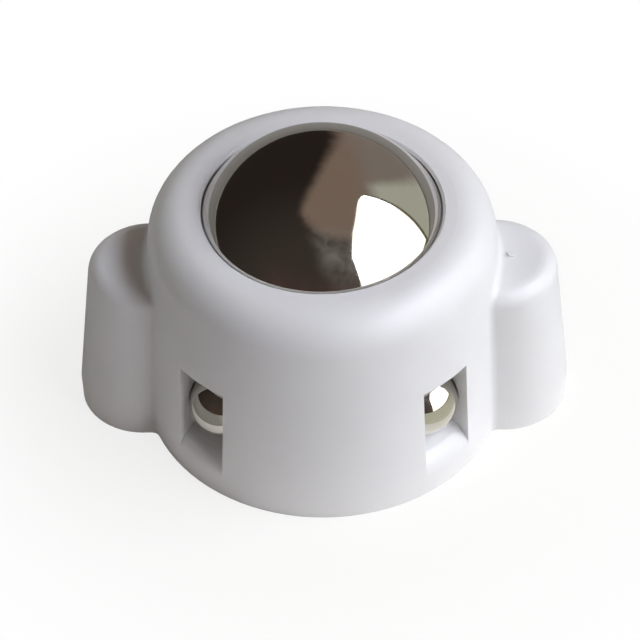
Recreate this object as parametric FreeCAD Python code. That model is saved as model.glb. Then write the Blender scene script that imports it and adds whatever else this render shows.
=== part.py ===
import FreeCAD, Part
import math
import os

# Ball castor: a polished steel ball that rolls on four small bearing balls in a white moulded housing.
# Origin at the centre of the mounting base, +Z up through the ball, +X through the two fixing lugs.
# Lengths in millimetres, angles in degrees.

# Balls
ball_diameter = 12.0
ball_stand_out = 2.9            # how far the ball rises above the rim
bearing_ball_diameter = 3.175
bearing_spread = 86.2           # turn between the two bearing balls of the front pair, and of the back pair
bearing_lean = 56.0             # angle from straight down to each bearing ball, seen from the ball centre

# Housing body
bearing_recess = 0.06           # how far each bearing ball lies inside the outer wall
body_draft = 3.0
foot_draft = 1.5
parting_height = 1.1            # mould parting line, the widest level
rim_round = 1.75
mouth_break = 0.12              # bevel on the inner edge of the rim

# Windows in the wall, one at each bearing ball
window_overlap = 0.29           # how far each side of a window laps over its bearing ball
window_sill = 1.75
window_head = 2.3               # top of the window above the bearing ball centre
window_floor_slope = 20.0
sill_round = 0.9
sill_land = 0.02                # least wall left between the sill round and the parting line

# Fixing lugs
lug_projection = 2.95           # from the body wall to the lug end, at the parting line
lug_width = 5.8
lug_drop = 3.0                  # lug top below the rim
lug_end_draft = 6.0
lug_side_draft = 2.0
lug_top_round = 0.75
lug_root_round = 0.35
screw_hole_diameter = 2.0
screw_shift = 0.2               # screw hole outwards from the centre of the round lug end
lug_roof = 2.2                  # plastic left above each blind screw hole
gate_mark_diameter = 0.35
gate_mark_height = 0.12

# Base cover
cover_thickness = 1.4
cover_ledge = 0.74              # step from the ball chamber out to the cover recess
ball_floor_gap = 0.7            # free space from the cover up to the ball
cradle_side_gap = 0.19          # from each side of a cradle to the slot it fills
cradle_length = 1.9             # from the cover edge inwards
cradle_rise = 0.25              # how far a cradle comes up around its bearing ball
cover_edge_break = 0.15

# Clearances
ball_clearance = 0.05
bearing_clearance = 0.05
rolling_gap = 0.02
cover_clearance = 0.04
cut_margin = 1.0                # how far a cutting shape runs past what it cuts

# Sizes that follow
ball_radius = ball_diameter / 2
bearing_radius = bearing_ball_diameter / 2
ball_height = cover_thickness + ball_floor_gap + ball_radius
rim_height = ball_height + ball_radius - ball_stand_out
chamber_radius = ball_radius + ball_clearance
socket_radius = bearing_radius + bearing_clearance
bearing_reach = ball_radius + bearing_radius + rolling_gap
bearing_orbit = bearing_reach * math.sin(math.radians(bearing_lean))
bearing_height = ball_height - bearing_reach * math.cos(math.radians(bearing_lean))
bearing_angles = [middle + side * bearing_spread / 2 for middle in (90.0, 270.0) for side in (-1, 1)]
wall_slope = math.tan(math.radians(body_draft))
body_radius = bearing_orbit + bearing_radius + bearing_recess + (bearing_height - parting_height) * wall_slope
rim_radius = body_radius - (rim_height - parting_height) * wall_slope
foot_inset = parting_height * math.tan(math.radians(foot_draft))
lug_height = rim_height - lug_drop
lug_reach = body_radius + lug_projection
screw_offset = lug_reach - lug_width / 2 + screw_shift
window_width = bearing_ball_diameter - 2 * window_overlap
sill_corner = math.radians(90 + window_floor_slope + body_draft)
sill_fillet = min(sill_round, (window_sill - parting_height - sill_land) * math.tan(sill_corner / 2))
recess_radius = chamber_radius + cover_ledge
cover_radius = recess_radius - cover_clearance
cradle_width = 2 * (socket_radius - cradle_side_gap)

V = FreeCAD.Vector
UP = V(0, 0, 1)


def turned(shape, angle):
    # A copy of a shape turned about the upright axis.
    copy = shape.copy()
    copy.rotate(V(0, 0, 0), UP, angle)
    return copy


def block(x0, x1, width, z0, z1):
    # A box on the +X side, centred across Y.
    return Part.makeBox(x1 - x0, width, z1 - z0, V(x0, -width / 2, z0))


def edges_at_height(shape, height):
    # Edges that lie level at one height.
    found = []
    for edge in shape.Edges:
        box = edge.BoundBox
        if abs(box.ZMin - height) < 1e-4 and abs(box.ZMax - height) < 1e-4:
            found.append(edge)
    return found


def body():
    # Two drafted cones that meet at the parting line, the upper one rounded at the rim.
    foot = Part.makeCone(body_radius - foot_inset, body_radius, parting_height)
    wall = Part.makeCone(body_radius, rim_radius, rim_height - parting_height, V(0, 0, parting_height))
    wall = wall.makeFillet(rim_round, edges_at_height(wall, rim_height))
    return foot.fuse(wall)


def lug_outline(reach, half_width, height):
    # A bar from inside the wall with a fully round end.
    inner = chamber_radius
    centre = reach - half_width
    corners = [V(inner, -half_width, height), V(centre, -half_width, height)]
    corners += [V(centre, half_width, height), V(inner, half_width, height)]
    end = Part.Arc(corners[1], V(reach, 0, height), corners[2]).toShape()
    sides = [Part.makeLine(corners[0], corners[1]), end, Part.makeLine(corners[2], corners[3])]
    return Part.Wire(sides + [Part.makeLine(corners[3], corners[0])])


def lug():
    # The drafted lug on +X: a short foot up to the parting line, then the tapering upper part.
    rise = lug_height - parting_height
    top_reach = lug_reach - rise * math.tan(math.radians(lug_end_draft))
    top_half = lug_width / 2 - rise * math.tan(math.radians(lug_side_draft))
    base_line = lug_outline(lug_reach - foot_inset, lug_width / 2 - foot_inset, 0)
    parting_line = lug_outline(lug_reach, lug_width / 2, parting_height)
    top_line = lug_outline(top_reach, top_half, lug_height)
    foot = Part.makeLoft([base_line, parting_line], True, True)
    upper = Part.makeLoft([parting_line, top_line], True, True)
    rounded = [e for e in edges_at_height(upper, lug_height) if e.BoundBox.XMax > chamber_radius + 0.01]
    upper = upper.makeFillet(lug_top_round, rounded)
    return foot.fuse(upper)


def root_edges(shape):
    # Edges where the lug sides and tops meet the body wall above the parting line.
    found = []
    for edge in shape.Edges:
        box = edge.BoundBox
        if box.ZMin < parting_height - 1e-4 or box.ZMax > lug_height + 1e-4 or box.ZLength < 1e-3:
            continue
        points = edge.discretize(9)
        off = [abs(math.hypot(p.x, p.y) - body_radius + (p.z - parting_height) * wall_slope) for p in points]
        if max(off) < 0.01 and max(abs(p.y) for p in points) < lug_width / 2 + 0.01:
            found.append(edge)
    return found


def sill_edges(shape):
    # The outer edges of the window floors: level across a window and on the wall.
    found = []
    for edge in shape.Edges:
        ends = [edge.Vertexes[0].Point, edge.Vertexes[-1].Point]
        across = abs((ends[0] - ends[1]).Length - window_width) < 0.01
        level = abs(ends[0].z - ends[1].z) < 0.01
        on_wall = min(math.hypot(p.x, p.y) for p in ends) > body_radius - rim_round / 2
        low = max(p.z for p in ends) < bearing_height
        if across and level and on_wall and low:
            found.append(edge)
    return found


def bearing_pocket():
    # The space for one bearing ball on +X: round socket, the way in from below and the window.
    centre = V(bearing_orbit, 0, bearing_height)
    inner = bearing_orbit - ball_radius / 2
    socket = Part.makeSphere(socket_radius, centre)
    drop = Part.makeCylinder(socket_radius, bearing_height, V(bearing_orbit, 0, 0))
    drop = drop.common(Part.makeCylinder(recess_radius, bearing_height))
    slot = block(inner, bearing_orbit, 2 * socket_radius, 0, bearing_height)
    slot = slot.common(Part.makeCylinder(recess_radius, bearing_height))
    crown = Part.makeCylinder(socket_radius, bearing_orbit - inner, V(inner, 0, bearing_height), V(1, 0, 0))
    outer = body_radius + cut_margin
    fall = math.tan(math.radians(window_floor_slope))
    low_out = window_sill - (outer - body_radius) * fall
    low_in = window_sill + (body_radius - bearing_orbit) * fall
    top = bearing_height + window_head
    profile = [V(bearing_orbit, 0, low_in), V(outer, 0, low_out), V(outer, 0, top)]
    profile += [V(inner, 0, top), V(inner, 0, bearing_height), V(bearing_orbit, 0, bearing_height)]
    face = Part.Face(Part.makePolygon(profile + profile[:1]))
    window = face.extrude(V(0, window_width, 0))
    window.translate(V(0, -window_width / 2, 0))
    return socket.fuse([drop, slot, crown, window])


def ball_chamber():
    # The turned hollow: cover recess, straight bore, dome over the ball and the bevelled edge of the mouth.
    mouth_tilt = math.asin((rim_height - mouth_break - ball_height) / chamber_radius)

    def on_dome(tilt):
        return V(chamber_radius * math.cos(tilt), 0, ball_height + chamber_radius * math.sin(tilt))

    dome = Part.Arc(on_dome(0), on_dome(mouth_tilt / 2), on_dome(mouth_tilt)).toShape()
    low = [V(0, 0, 0), V(recess_radius, 0, 0), V(recess_radius, 0, cover_thickness)]
    low += [V(chamber_radius, 0, cover_thickness), on_dome(0)]
    mouth_radius = on_dome(mouth_tilt).x + mouth_break
    above = rim_height + cut_margin
    high = [on_dome(mouth_tilt), V(mouth_radius, 0, rim_height), V(mouth_radius, 0, above)]
    high += [V(0, 0, above), V(0, 0, 0)]
    lines = Part.makePolygon(low).Edges + [dome] + Part.makePolygon(high).Edges
    return Part.Face(Part.Wire(lines)).revolve(V(0, 0, 0), UP, 360)


def housing():
    # One moulding: body and lugs, hollowed for the balls, the cover and the screws.
    shape = body().fuse([lug(), turned(lug(), 180)])
    shape = shape.makeFillet(lug_root_round, root_edges(shape))
    pocket = bearing_pocket()
    cuts = [ball_chamber()] + [turned(pocket, a) for a in bearing_angles]
    for side in (-1, 1):
        place = V(side * screw_offset, 0, 0)
        cuts.append(Part.makeCylinder(screw_hole_diameter / 2, lug_height - lug_roof, place))
    shape = shape.cut(cuts)
    shape = shape.makeFillet(sill_fillet, sill_edges(shape))
    gate_foot = V(screw_offset, 0, lug_height - gate_mark_height)
    gate = Part.makeCylinder(gate_mark_diameter / 2, 2 * gate_mark_height, gate_foot)
    return shape.fuse(gate)


def base_cover():
    # A disc that closes the base, with one cradle under each bearing ball.
    disc = Part.makeCylinder(cover_radius, cover_thickness)
    disc = disc.makeChamfer(cover_edge_break, edges_at_height(disc, 0))
    cradle_top = bearing_height - bearing_radius + cradle_rise
    cradle_start = cover_radius - cradle_length
    cradle = block(cradle_start, cover_radius + cut_margin, cradle_width, cover_thickness / 2, cradle_top)
    cradle = cradle.common(Part.makeCylinder(cover_radius, cradle_top))
    cradle = cradle.cut(Part.makeSphere(bearing_radius + rolling_gap, V(bearing_orbit, 0, bearing_height)))
    return disc.fuse([turned(cradle, a) for a in bearing_angles]).removeSplitter()


def bearing_ball(angle):
    # One bearing ball in its socket.
    return turned(Part.makeSphere(bearing_radius, V(bearing_orbit, 0, bearing_height)), angle)


os.makedirs("parts", exist_ok=True)
pieces = {"housing": housing(), "base_cover": base_cover()}
pieces["main_ball"] = Part.makeSphere(ball_radius, V(0, 0, ball_height))
for number, angle in enumerate(bearing_angles, 1):
    pieces["bearing_ball_%d" % number] = bearing_ball(angle)
for name, shape in pieces.items():
    solid = shape.Solids[0] if len(shape.Solids) == 1 else shape
    solid.exportStep("parts/%s.step" % name)
    print(name, "solids", len(shape.Solids), "valid", shape.isValid(), "volume", round(shape.Volume, 2))
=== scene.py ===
# %% [markdown]
# # A small ball castor
# A polished steel ball sits in a white moulded cup and rolls on four small bearing balls, which show
# through windows in the wall. The shapes of the cup come ready-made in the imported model. This lesson
# gives every surface its finish, makes mirror-smooth balls, and sets up the light and the camera.

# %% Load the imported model
import math
import bpy
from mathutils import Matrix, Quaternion, Vector


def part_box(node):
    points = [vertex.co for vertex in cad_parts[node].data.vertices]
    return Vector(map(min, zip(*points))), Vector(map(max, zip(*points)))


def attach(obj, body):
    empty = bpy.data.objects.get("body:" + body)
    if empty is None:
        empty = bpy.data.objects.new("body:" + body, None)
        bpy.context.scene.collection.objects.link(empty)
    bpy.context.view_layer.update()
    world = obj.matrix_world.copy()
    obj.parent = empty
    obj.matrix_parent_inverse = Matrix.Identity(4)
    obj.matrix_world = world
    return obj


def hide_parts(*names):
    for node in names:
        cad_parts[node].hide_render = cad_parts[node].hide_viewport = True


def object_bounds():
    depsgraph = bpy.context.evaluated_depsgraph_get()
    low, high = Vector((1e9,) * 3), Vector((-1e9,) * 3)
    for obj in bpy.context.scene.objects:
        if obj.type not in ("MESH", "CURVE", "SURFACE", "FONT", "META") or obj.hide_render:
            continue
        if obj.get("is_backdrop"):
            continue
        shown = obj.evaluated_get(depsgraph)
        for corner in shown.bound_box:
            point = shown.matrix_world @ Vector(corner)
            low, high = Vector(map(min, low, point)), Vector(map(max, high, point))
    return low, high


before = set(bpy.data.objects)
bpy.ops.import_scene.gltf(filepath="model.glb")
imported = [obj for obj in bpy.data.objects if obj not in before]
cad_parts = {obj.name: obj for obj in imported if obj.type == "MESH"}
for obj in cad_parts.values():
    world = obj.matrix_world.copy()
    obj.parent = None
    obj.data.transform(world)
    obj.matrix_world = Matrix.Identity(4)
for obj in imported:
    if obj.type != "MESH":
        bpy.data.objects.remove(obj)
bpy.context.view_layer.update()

MM = 0.001
print("nodes:", sorted(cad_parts))

# %% [markdown]
# ## Helpers for finishes
# A colour is easiest to pick as a hex value from a photograph or a paint chart, but shaders work with
# linear light, so one function converts. Another adds a node with its settings and links, which keeps
# each finish readable as a short list of nodes. A third starts an empty finish. The sockets of a colour
# Mix node share their names with those for plain numbers, so they are found by their places instead.


# %% Colour and node helpers
def linear(hex_code):
    channels = [int(hex_code[i:i + 2], 16) / 255 for i in (1, 3, 5)]
    return tuple(c / 12.92 if c <= 0.04045 else ((c + 0.055) / 1.055) ** 2.4 for c in channels) + (1.0,)


def add_node(tree, kind, inputs=None, links=None, **settings):
    made = tree.nodes.new(kind)
    for name, value in settings.items():
        setattr(made, name, value)
    for socket, value in (inputs or {}).items():
        made.inputs[socket].default_value = value
    for socket, source in (links or {}).items():
        tree.links.new(source, made.inputs[socket])
    return made


def new_finish(name):
    finish = bpy.data.materials.new(name)
    finish.use_nodes = True
    finish.node_tree.nodes.clear()
    return finish, finish.node_tree


FACTOR, COLOUR_A, COLOUR_B, MIXED = 0, 6, 7, 2
print("mid grey in linear light:", [round(c, 3) for c in linear("#808080")])

# %% [markdown]
# ## White nylon, injection moulded
# Nylon is milky: a little light goes in and comes out again nearby, which softens the shading at edges,
# so it gets a small subsurface share. The mould leaves a satin skin with a fine spark-eroded grain and
# slow waves where the thick places shrank. The real grain is about 0.05 mm, too fine to show here, so it
# is drawn at 0.2 mm. Colour, roughness and bump all read noise in the object's own millimetres.

# %% Moulded nylon
patch_size, wave_size, grain_size = 3.5 * MM, 4.0 * MM, 0.2 * MM
wave_depth, grain_depth = 0.03 * MM, 0.004 * MM
milky_depth = 0.5 * MM
nylon_ior = 1.53


def moulded_nylon(name, pale, dull, smooth, rough):
    finish, tree = new_finish(name)
    place = add_node(tree, "ShaderNodeTexCoord").outputs["Object"]
    patches = add_node(tree, "ShaderNodeTexNoise", {"Scale": 1 / patch_size, "Detail": 3.0},
                       {"Vector": place})
    grain = add_node(tree, "ShaderNodeTexNoise", {"Scale": 1 / grain_size, "Detail": 2.0}, {"Vector": place})
    waves = add_node(tree, "ShaderNodeTexNoise", {"Scale": 1 / wave_size, "Detail": 1.0}, {"Vector": place})
    tint = add_node(tree, "ShaderNodeMix", {COLOUR_A: linear(pale), COLOUR_B: linear(dull)},
                    {FACTOR: patches.outputs[0]}, data_type="RGBA")
    gloss = add_node(tree, "ShaderNodeMapRange",
                     {"From Min": 0.2, "From Max": 0.8, "To Min": smooth, "To Max": rough},
                     {"Value": patches.outputs[0]})
    slow = add_node(tree, "ShaderNodeBump", {"Strength": 0.35, "Distance": wave_depth},
                    {"Height": waves.outputs[0]})
    fine = add_node(tree, "ShaderNodeBump", {"Strength": 0.25, "Distance": grain_depth},
                    {"Height": grain.outputs[0], "Normal": slow.outputs[0]})
    skin = add_node(tree, "ShaderNodeBsdfPrincipled",
                    {"IOR": nylon_ior, "Subsurface Weight": 0.3, "Subsurface Radius": (1.0, 0.95, 0.9),
                     "Subsurface Scale": milky_depth},
                    {"Base Color": tint.outputs[MIXED], "Roughness": gloss.outputs[0],
                     "Normal": fine.outputs[0]})
    add_node(tree, "ShaderNodeOutputMaterial", None, {"Surface": skin.outputs[0]})
    return finish


housing_nylon = moulded_nylon("moulded_white_nylon", "#e6e6e7", "#dedee0", 0.36, 0.46)
cover_nylon = moulded_nylon("moulded_white_nylon_matt", "#e2e2e2", "#d9d9da", 0.5, 0.6)
for node_name, finish in (("housing", housing_nylon), ("base_cover", cover_nylon)):
    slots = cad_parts[node_name].material_slots
    for material_slot in slots:
        material_slot.material = finish
    print(node_name, "wears", finish.name, "on", len(slots), "slot")

# %% [markdown]
# ## Polished bearing steel
# Balls are ground and lapped, so the steel is a near mirror and its look is mostly what it reflects. Two
# things keep it from looking computed: a faint uneven haze from handling, and hairline scratches from
# rolling. The scratches are noise stretched a hundredfold along one direction and cut to its crests. They
# are really a few thousandths of a millimetre wide, and are drawn at about 0.05 mm to show at all.

# %% Polished steel
hair_width, hair_depth = 0.05 * MM, 0.002 * MM
hair_stretch = (1.0, 1.0, 0.01)
hair_turns = ((0.3, 0.8, 0.1), (1.2, 0.2, 0.9))


def polished_steel(name, bright, warm, haze_size, clear, hazy):
    finish, tree = new_finish(name)
    place = add_node(tree, "ShaderNodeTexCoord").outputs["Object"]
    haze = add_node(tree, "ShaderNodeTexNoise", {"Scale": 1 / haze_size, "Detail": 4.0, "Roughness": 0.6},
                    {"Vector": place})
    tint = add_node(tree, "ShaderNodeMix", {COLOUR_A: linear(bright), COLOUR_B: linear(warm)},
                    {FACTOR: haze.outputs[0]}, data_type="RGBA")
    gloss = add_node(tree, "ShaderNodeMapRange",
                     {"From Min": 0.35, "From Max": 0.7, "To Min": clear, "To Max": hazy},
                     {"Value": haze.outputs[0]})
    lines = None
    for turn in hair_turns:
        along = add_node(tree, "ShaderNodeMapping", {"Rotation": turn, "Scale": hair_stretch},
                         {"Vector": place})
        hairs = add_node(tree, "ShaderNodeTexNoise", {"Scale": 1 / hair_width, "Detail": 0.0},
                         {"Vector": along.outputs[0]})
        crest = add_node(tree, "ShaderNodeMapRange", {"From Min": 0.74, "From Max": 0.8},
                         {"Value": hairs.outputs[0]})
        bump = add_node(tree, "ShaderNodeBump", {"Strength": 0.05, "Distance": hair_depth},
                        {"Height": crest.outputs[0]}, invert=True)
        if lines:
            tree.links.new(lines.outputs[0], bump.inputs["Normal"])
        lines = bump
    steel = add_node(tree, "ShaderNodeBsdfPrincipled", {"Metallic": 1.0},
                     {"Base Color": tint.outputs[MIXED], "Roughness": gloss.outputs[0],
                      "Normal": lines.outputs[0]})
    add_node(tree, "ShaderNodeOutputMaterial", None, {"Surface": steel.outputs[0]})
    return finish


ball_steel = polished_steel("polished_bearing_steel", "#d6d4cf", "#cbc8c1", 2.0 * MM, 0.03, 0.07)
small_steel = polished_steel("polished_bearing_steel_small", "#d6d4cd", "#cbc7bd", 0.8 * MM, 0.03, 0.08)
for node_name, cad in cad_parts.items():
    if "ball" in node_name:
        for material_slot in cad.material_slots:
            material_slot.material = ball_steel if node_name == "main_ball" else small_steel
print("finishes:", [m.name for m in (housing_nylon, cover_nylon, ball_steel, small_steel)])

# %% [markdown]
# ## The large ball
# A mirror shows every facet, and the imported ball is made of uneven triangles. A UV sphere would pinch the
# reflections at its poles, so an even ball starts as a cube, whose faces are subdivided and pushed out to
# a sphere in edit mode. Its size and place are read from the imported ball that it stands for.


# %% Ball maker
def lapped_ball(name, packed, cuts):
    low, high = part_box(packed)
    radius = max(high - low) / 2
    bpy.ops.object.select_all(action="DESELECT")
    bpy.ops.mesh.primitive_cube_add(size=2 * radius)
    ball = bpy.context.object
    ball.name = ball.data.name = name
    bpy.ops.object.mode_set(mode="EDIT")
    bpy.ops.mesh.select_all(action="SELECT")
    bpy.ops.mesh.subdivide(number_cuts=cuts)
    bpy.ops.transform.tosphere(value=1.0)
    bpy.ops.object.mode_set(mode="OBJECT")
    size = radius / max(v.co.length for v in ball.data.vertices)
    bpy.ops.object.mode_set(mode="EDIT")
    bpy.ops.transform.resize(value=(size, size, size))
    bpy.ops.transform.translate(value=(low + high) / 2)
    bpy.ops.object.mode_set(mode="OBJECT")
    bpy.ops.object.shade_smooth()
    return ball


# %% Large ball
main_ball = lapped_ball("main_ball_lapped", "main_ball", 47)
main_ball.data.materials.append(ball_steel)
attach(main_ball, "rolling_ball")
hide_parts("main_ball")
print("main ball:", len(main_ball.data.polygons), "faces, width", round(main_ball.dimensions.x / MM, 4), "mm")

# %% [markdown]
# ## The bearing balls
# Four stock steel balls, all alike, carry the large one. So one is modelled and the other three are copies
# with meshes of their own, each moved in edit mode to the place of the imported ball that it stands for.

# %% Bearing balls
packed_names = ["bearing_ball_%d" % number for number in range(1, 5)]
centres = [sum(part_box(packed), Vector()) / 2 for packed in packed_names]
first = lapped_ball("bearing_ball_1_lapped", packed_names[0], 23)
first.data.materials.append(small_steel)
small_balls = [first]
for packed, centre in zip(packed_names[1:], centres[1:]):
    bpy.ops.object.select_all(action="DESELECT")
    first.select_set(True)
    bpy.context.view_layer.objects.active = first
    bpy.ops.object.duplicate(linked=False)
    copy = bpy.context.object
    copy.name = copy.data.name = packed + "_lapped"
    bpy.ops.object.mode_set(mode="EDIT")
    bpy.ops.mesh.select_all(action="SELECT")
    bpy.ops.transform.translate(value=centre - centres[0])
    bpy.ops.object.mode_set(mode="OBJECT")
    small_balls.append(copy)
for number, small in enumerate(small_balls, 1):
    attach(small, "bearing_%d" % number)
    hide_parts(packed_names[number - 1])
    print(small.name, len(small.data.polygons), "faces, width", round(small.dimensions.x / MM, 4), "mm")

# %% [markdown]
# ## White floor
# The castor stands on white paper. For the camera the paper is self-lit, so that it reads as plain white,
# but it keeps a share of real shading near the castor, where the shadow falls. Mirrors see a small part of
# that glow, and mostly the paper's own shading. Further off the paper is greyer, which the camera does not
# see: it only weakens the light that comes back up to the walls.

# %% Floor
shadow_reach = (9 * MM, 22 * MM)
white_reach = (15 * MM, 30 * MM)
shadow_glow, mirror_glow = 0.8, 0.15
bpy.ops.object.select_all(action="DESELECT")
bpy.ops.mesh.primitive_circle_add(vertices=64, radius=0.5, fill_type="NGON")
floor = bpy.context.object
floor.name = "floor"
paper, tree = new_finish("white_paper")
seen = add_node(tree, "ShaderNodeLightPath").outputs
place = add_node(tree, "ShaderNodeTexCoord").outputs["Object"]
spread = add_node(tree, "ShaderNodeVectorMath", None, {0: place}, operation="LENGTH").outputs["Value"]
share = add_node(tree, "ShaderNodeMapRange",
                 {"From Min": shadow_reach[0], "From Max": shadow_reach[1],
                  "To Min": shadow_glow, "To Max": 1.0},
                 {"Value": spread}, interpolation_type="SMOOTHSTEP")
mirror = add_node(tree, "ShaderNodeMath", {1: mirror_glow},
                  {0: seen["Is Glossy Ray"], 2: seen["Is Camera Ray"]}, operation="MULTIPLY_ADD")
clear = add_node(tree, "ShaderNodeMath", None, {0: mirror.outputs[0], 1: seen["Is Transmission Ray"]},
                 operation="MAXIMUM")
factor = add_node(tree, "ShaderNodeMath", None, {0: clear.outputs[0], 1: share.outputs[0]},
                  operation="MULTIPLY")
away = add_node(tree, "ShaderNodeMapRange", {"From Min": white_reach[0], "From Max": white_reach[1]},
                {"Value": spread})
sheet = add_node(tree, "ShaderNodeMix", {COLOUR_A: linear("#f9f5ed"), COLOUR_B: linear("#cccac6")},
                 {FACTOR: away.outputs[0]}, data_type="RGBA")
matt = add_node(tree, "ShaderNodeBsdfDiffuse", None, {"Color": sheet.outputs[MIXED]})
glow = add_node(tree, "ShaderNodeEmission", {"Color": linear("#ffffff"), "Strength": 1.0})
both = add_node(tree, "ShaderNodeMixShader", None,
                {0: factor.outputs[0], 1: matt.outputs[0], 2: glow.outputs[0]})
add_node(tree, "ShaderNodeOutputMaterial", None, {"Surface": both.outputs[0]})
floor.data.materials.append(paper)
floor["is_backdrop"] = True
print("floor radius", floor.dimensions.x / 2, "m")

# %% [markdown]
# ## A dim room round the mirror
# A mirror ball looks like what stands round it, so it needs a room. A plain studio would leave it white
# and flat. This room is a dome with a faint glow of its own, which the camera looks through and the steel
# does not: dark on the left and behind the camera, brown overhead and far off, paler beside the window.

# %% Room dome
bpy.ops.object.select_all(action="DESELECT")
bpy.ops.mesh.primitive_uv_sphere_add(segments=48, ring_count=24, radius=0.6)
dome = bpy.context.object
dome.name = "room_dome"
bpy.ops.object.mode_set(mode="EDIT")
bpy.ops.mesh.select_all(action="SELECT")
bpy.ops.mesh.bisect(plane_co=(0, 0, 1 * MM), plane_no=(0, 0, 1), clear_inner=True)
bpy.ops.object.mode_set(mode="OBJECT")
dome.visible_camera = False
dome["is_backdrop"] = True
print("dome:", len(dome.data.polygons), "faces")

# %% [markdown]
# ## Shades of the room
# Each part of the room is cut from the direction of a point as seen from the ball: a soft step along one
# direction splits the dome in two, and a few steps multiplied together bound one wall or ceiling. A little
# noise bends the edges, so that they do not look ruled.

# %% Room directions
room, tree = new_finish("dim_brown_room")
place = add_node(tree, "ShaderNodeTexCoord").outputs["Object"]
smoke = add_node(tree, "ShaderNodeTexNoise", {"Scale": 14.0, "Detail": 4.0, "Roughness": 0.6},
                 {"Vector": place})
stir = add_node(tree, "ShaderNodeVectorMath", {1: (0.5, 0.5, 0.5)}, {0: smoke.outputs["Color"]},
                operation="SUBTRACT")
push = add_node(tree, "ShaderNodeVectorMath", {"Scale": 0.06}, {0: stir.outputs[0]}, operation="SCALE")
ray = add_node(tree, "ShaderNodeVectorMath", None, {0: place}, operation="NORMALIZE")
bent = add_node(tree, "ShaderNodeVectorMath", None, {0: ray.outputs[0], 1: push.outputs[0]}, operation="ADD")


def step_along(toward, start, end):
    side = add_node(tree, "ShaderNodeVectorMath", {1: toward}, {0: bent.outputs[0]}, operation="DOT_PRODUCT")
    soft = add_node(tree, "ShaderNodeMapRange", {"From Min": start, "From Max": end},
                    {"Value": side.outputs["Value"]}, interpolation_type="SMOOTHSTEP")
    return soft.outputs[0]


near = step_along((0.0, -1.0, 0.0), -0.6, 0.8)
right = step_along((0.89, -0.43, -0.13), -0.43, -0.27)
overhead = step_along((0.22, 0.02, 0.97), 0.82, 0.91)
far = step_along((0.0, 1.0, 0.0), -0.03, 0.14)
far_right = step_along((0.94, 0.24, -0.25), 0.22, 0.5)
beside_window = step_along((0.17, -0.9, -0.4), -0.65, -0.51)
low = step_along((0.0, 0.0, -1.0), -0.82, -0.66)
close_by = step_along((0.0, -1.0, 0.0), 0.28, 0.42)
window_edge = step_along((0.89, -0.01, 0.46), 0.16, 0.5)
front = step_along((0.0, -1.0, 0.0), 0.5, 0.75)
level = step_along((0.0, 0.0, -1.0), -0.6, -0.3)
back_left = step_along((-0.82, 0.57, 0.0), 0.4, 0.9)
clouds = add_node(tree, "ShaderNodeTexNoise", {"Scale": 7.0, "Detail": 2.0, "Distortion": 0.6},
                  {"Vector": place})
mottle = add_node(tree, "ShaderNodeMapRange",
                  {"From Min": 0.3, "From Max": 0.7, "To Min": 0.2, "To Max": 0.85},
                  {"Value": clouds.outputs[0]}).outputs[0]
ceiling = add_node(tree, "ShaderNodeMath", None, {0: overhead, 1: far}, operation="MAXIMUM").outputs[0]
print("room finish so far:", len(tree.nodes), "nodes")

# %% [markdown]
# ## Colours of the room
# Each zone is laid over the ones before it. Matt surfaces take a little more light from the room than
# mirrors do, and a soft wash from low at the back left, so that the side away from the window stays clear
# while the steel keeps its dark room.

# %% Room colours
dark_room = "#2c2522"
zones = (("#413a36", (near,)),
         ("#887569", (right, ceiling)),
         ("#897f78", (right, ceiling, far_right)),
         ("#bbbcad", (right, beside_window, low, far)),
         ("#8c8681", (window_edge, close_by, mottle)),
         ("#54413d", (front, level, mottle)))
matt_extra, wash_glow = 0.2, 1.5
shade = None
for hex_code, masks in zones:
    mask = masks[0]
    for other in masks[1:]:
        mask = add_node(tree, "ShaderNodeMath", None, {0: mask, 1: other}, operation="MULTIPLY").outputs[0]
    mixed = add_node(tree, "ShaderNodeMix", {COLOUR_A: linear(dark_room), COLOUR_B: linear(hex_code)},
                     {FACTOR: mask}, data_type="RGBA")
    if shade:
        tree.links.new(shade, mixed.inputs[COLOUR_A])
    shade = mixed.outputs[MIXED]
matt_ray = add_node(tree, "ShaderNodeLightPath").outputs["Is Diffuse Ray"]
fill = add_node(tree, "ShaderNodeMath", {1: matt_extra, 2: 1.0}, {0: matt_ray}, operation="MULTIPLY_ADD")
glow = add_node(tree, "ShaderNodeEmission", None, {"Color": shade, "Strength": fill.outputs[0]})
side = add_node(tree, "ShaderNodeMath", None, {0: back_left, 1: level}, operation="MULTIPLY")
matt_only = add_node(tree, "ShaderNodeMath", None, {0: side.outputs[0], 1: matt_ray}, operation="MULTIPLY")
amount = add_node(tree, "ShaderNodeMath", {1: wash_glow}, {0: matt_only.outputs[0]}, operation="MULTIPLY")
wash = add_node(tree, "ShaderNodeEmission", {"Color": linear("#f4faf2")}, {"Strength": amount.outputs[0]})
both = add_node(tree, "ShaderNodeAddShader", None, {0: glow.outputs[0], 1: wash.outputs[0]})
add_node(tree, "ShaderNodeOutputMaterial", None, {"Surface": both.outputs[0]})
dome.data.materials.append(room)
print("room finish:", len(tree.nodes), "nodes")
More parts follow.
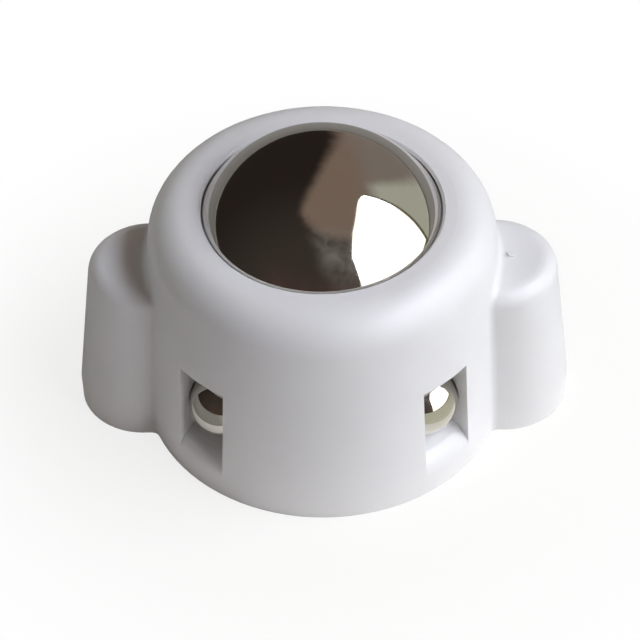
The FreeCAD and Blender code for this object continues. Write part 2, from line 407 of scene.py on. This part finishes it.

# %% [markdown]
# ## A grey table
# Round the castor the steel sees a table top, which gives the ball the grey band along its upper edge and
# the small balls their grey lower halves. It is a ring, extruded outwards from a circle of edges, and its
# colour is painted paler towards the window, a painted pool of window light. Only mirrors see it: the
# camera and matt surfaces see the paper below.

# %% Table
inner, outer = 11.5 * MM, 540 * MM
table_height = 0.5 * MM
toward_window = (0.71, -0.71, 0.0)
bpy.ops.object.select_all(action="DESELECT")
bpy.ops.mesh.primitive_circle_add(vertices=64, radius=inner, location=(0, 0, table_height))
table = bpy.context.object
table.name = "grey_table"
bpy.ops.object.mode_set(mode="EDIT")
bpy.ops.mesh.select_all(action="SELECT")
bpy.ops.mesh.extrude_edges_move()
bpy.ops.transform.resize(value=(outer / inner, outer / inner, 1.0))
bpy.ops.object.mode_set(mode="OBJECT")
table.visible_camera = table.visible_diffuse = table.visible_shadow = False
table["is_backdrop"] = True
print("table out to", round(table.dimensions.x / 2 / MM), "mm")

# %% Table laminate and painted window light
laminate, tree = new_finish("grey_table_laminate_and_painted_light")
place = add_node(tree, "ShaderNodeTexCoord").outputs["Object"]
speckle = add_node(tree, "ShaderNodeTexNoise", {"Scale": 40.0}, {"Vector": place})
ray = add_node(tree, "ShaderNodeVectorMath", None, {0: place}, operation="NORMALIZE")
side = add_node(tree, "ShaderNodeVectorMath", {1: toward_window}, {0: ray.outputs[0]},
                operation="DOT_PRODUCT")
lit = add_node(tree, "ShaderNodeMapRange", {"From Min": 0.3, "From Max": 0.9},
               {"Value": side.outputs["Value"]})
grey = add_node(tree, "ShaderNodeMix", {COLOUR_A: linear("#aca9a4"), COLOUR_B: linear("#9a9792")},
                {FACTOR: speckle.outputs[0]}, data_type="RGBA")
# Painted light: towards the window the grey is painted paler, a painted pool of the window's light.
painted_window_light = add_node(tree, "ShaderNodeMix", {COLOUR_B: linear("#dcdbc6")},
                 {FACTOR: lit.outputs[0], COLOUR_A: grey.outputs[MIXED]}, data_type="RGBA")
matt = add_node(tree, "ShaderNodeBsdfDiffuse", None, {"Color": painted_window_light.outputs[MIXED]})
add_node(tree, "ShaderNodeOutputMaterial", None, {"Surface": matt.outputs[0]})
table.data.materials.append(laminate)
print("laminate:", len(tree.nodes), "nodes")

# %% [markdown]
# ## The window
# One wide window on the right lights everything. Its outline is the white patch on the ball, so it is a
# plane turned upright, with its two upper corners rounded by a vertex bevel and the far one drawn out. An
# inset leaves a thin frame round the panes, which edges the patch with a fine dark line. The frame is not
# lit: it glows dimly at a fixed colour of its own, painted light in place of lit paint.

# %% Window
window_x, pane_y, pane_top = 0.25, (-0.385, 0.055), 0.5
frame_width, far_lean, corner_round = 0.012, 0.07, 0.12
window_y = (pane_y[0] - frame_width, pane_y[1] + frame_width)
window_top = pane_top + frame_width
bpy.ops.object.select_all(action="DESELECT")
bpy.ops.mesh.primitive_plane_add(size=1.0)
window = bpy.context.object
window.name = "window"
bpy.ops.object.mode_set(mode="EDIT")
bpy.ops.mesh.select_all(action="SELECT")
bpy.ops.transform.rotate(value=math.radians(90), orient_axis="Y", center_override=(0, 0, 0))
bpy.ops.transform.resize(value=(1.0, window_y[1] - window_y[0], window_top))
bpy.ops.transform.translate(value=(window_x, sum(window_y) / 2, window_top / 2))
bpy.ops.mesh.select_all(action="DESELECT")
bpy.ops.object.mode_set(mode="OBJECT")
for vertex in window.data.vertices:
    vertex.select = vertex.co.z > window_top / 2 and vertex.co.y > 0
bpy.ops.object.mode_set(mode="EDIT")
bpy.ops.transform.translate(value=(0.0, far_lean, 0.0))
bpy.ops.mesh.select_all(action="DESELECT")
bpy.ops.object.mode_set(mode="OBJECT")
for vertex in window.data.vertices:
    vertex.select = vertex.co.z > window_top / 2
bpy.ops.object.mode_set(mode="EDIT")
bpy.ops.mesh.bevel(offset=corner_round, segments=8, affect="VERTICES")
bpy.ops.mesh.select_all(action="SELECT")
bpy.ops.mesh.inset(thickness=frame_width)
bpy.ops.object.mode_set(mode="OBJECT")
for face in window.data.polygons:
    face.material_index = 0 if face.select else 1
window.visible_camera = False
window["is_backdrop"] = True
print("window:", [round(d, 3) for d in window.dimensions], "m")

# %% [markdown]
# ## Daylight
# A lamp of one strength would make the rim and the wall equally bright. Here the bluish sky in the middle
# of the window is strong, weaker towards its near and far ends, and the rest is weak and warmer, so the rim
# stands out and the wall grades slowly from white to grey. Mirrors see no pane weaker than a set glare, so
# that the patch on the ball is evenly white, as an overexposed window is in a photograph.

# %% Daylight
sky_foot, sky_head = (0.14, 0.2), (0.48, 0.4)
near_sky, full_sky, full_sky_from = 3.4, 7.35, -0.15
far_fade, far_share = (-0.06, 0.12), 0.65
pane_glow, mirror_glare = 1.0, 2.2
daylight, tree = new_finish("window_daylight")
place = add_node(tree, "ShaderNodeTexCoord").outputs["Object"]
where = add_node(tree, "ShaderNodeSeparateXYZ", None, {0: place}).outputs
above = add_node(tree, "ShaderNodeMapRange", {"From Min": sky_foot[0], "From Max": sky_foot[1]},
                 {"Value": where["Z"]})
below = add_node(tree, "ShaderNodeMapRange", {"From Min": sky_head[0], "From Max": sky_head[1]},
                 {"Value": where["Z"]})
along = add_node(tree, "ShaderNodeMapRange",
                 {"From Min": pane_y[0], "From Max": full_sky_from, "To Min": near_sky, "To Max": full_sky},
                 {"Value": where["Y"]})
fade = add_node(tree, "ShaderNodeMapRange",
                {"From Min": far_fade[0], "From Max": far_fade[1], "To Min": 1.0, "To Max": far_share},
                {"Value": where["Y"]})
sky = add_node(tree, "ShaderNodeMath", None, {0: above.outputs[0], 1: below.outputs[0]}, operation="MULTIPLY")
bright = add_node(tree, "ShaderNodeMath", None, {0: along.outputs[0], 1: fade.outputs[0]},
                  operation="MULTIPLY")
strength = add_node(tree, "ShaderNodeMath", {2: pane_glow}, {0: sky.outputs[0], 1: bright.outputs[0]},
                    operation="MULTIPLY_ADD")
mirror_ray = add_node(tree, "ShaderNodeLightPath").outputs["Is Glossy Ray"]
glare = add_node(tree, "ShaderNodeMath", {1: mirror_glare}, {0: mirror_ray}, operation="MULTIPLY")
shown = add_node(tree, "ShaderNodeMath", None, {0: strength.outputs[0], 1: glare.outputs[0]},
                 operation="MAXIMUM")
tone = add_node(tree, "ShaderNodeMix", {COLOUR_A: linear("#fffaf0"), COLOUR_B: linear("#e8eefa")},
                {FACTOR: sky.outputs[0]}, data_type="RGBA")
panes = add_node(tree, "ShaderNodeEmission", None,
                 {"Color": tone.outputs[MIXED], "Strength": shown.outputs[0]})
add_node(tree, "ShaderNodeOutputMaterial", None, {"Surface": panes.outputs[0]})
window.data.materials.append(daylight)
print("daylight:", len(tree.nodes), "nodes")

# %% Window frame, glowing
glowing_frame, tree = new_finish("glowing_window_frame")
# Painted light: the frame glows at a fixed dim colour instead of being lit.
frame_glow = add_node(tree, "ShaderNodeEmission", {"Color": linear("#6b6450")})
add_node(tree, "ShaderNodeOutputMaterial", None, {"Surface": frame_glow.outputs[0]})
window.data.materials.append(glowing_frame)
print("window finishes:", [m.name for m in window.data.materials])

# %% [markdown]
# ## Backdrop and view
# Behind everything the world is plain white, and the Standard view shows colours as they are written.

# %% World and view
scene = bpy.context.scene
world = bpy.data.worlds.new("white_backdrop")
world.use_nodes = True
backdrop = world.node_tree.nodes["Background"]
backdrop.inputs["Color"].default_value = linear("#ffffff")
backdrop.inputs["Strength"].default_value = 1.0
scene.world = world
scene.view_settings.view_transform = "Standard"
print("view:", scene.view_settings.view_transform)

# %% [markdown]
# ## Camera
# A close-up from about 45 degrees above the table, through a long lens, so that the two lugs look almost
# equally large. The slight roll levels the base as a hand-held camera saw it.

# %% Camera
eye = Vector((0.78, -106.71, 111.78)) * MM
aim = Vector((-0.15, 0.0, 4.23)) * MM
roll = math.radians(-0.886)
bpy.ops.object.camera_add(location=eye)
camera = bpy.context.object
camera.name = "camera"
camera.rotation_mode = "QUATERNION"
camera.rotation_quaternion = (aim - eye).to_track_quat("-Z", "Y") @ Quaternion((0, 0, 1), roll)
camera.data.sensor_width = 36.0
camera.data.lens = 189.9
camera.data.clip_start = 10 * MM
scene.camera = camera
print("camera", round((aim - eye).length / MM, 1), "mm away")

# %% Sizes and finish
low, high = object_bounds()
print("visual box in mm:", [round((b - a) / MM, 2) for a, b in zip(low, high)])
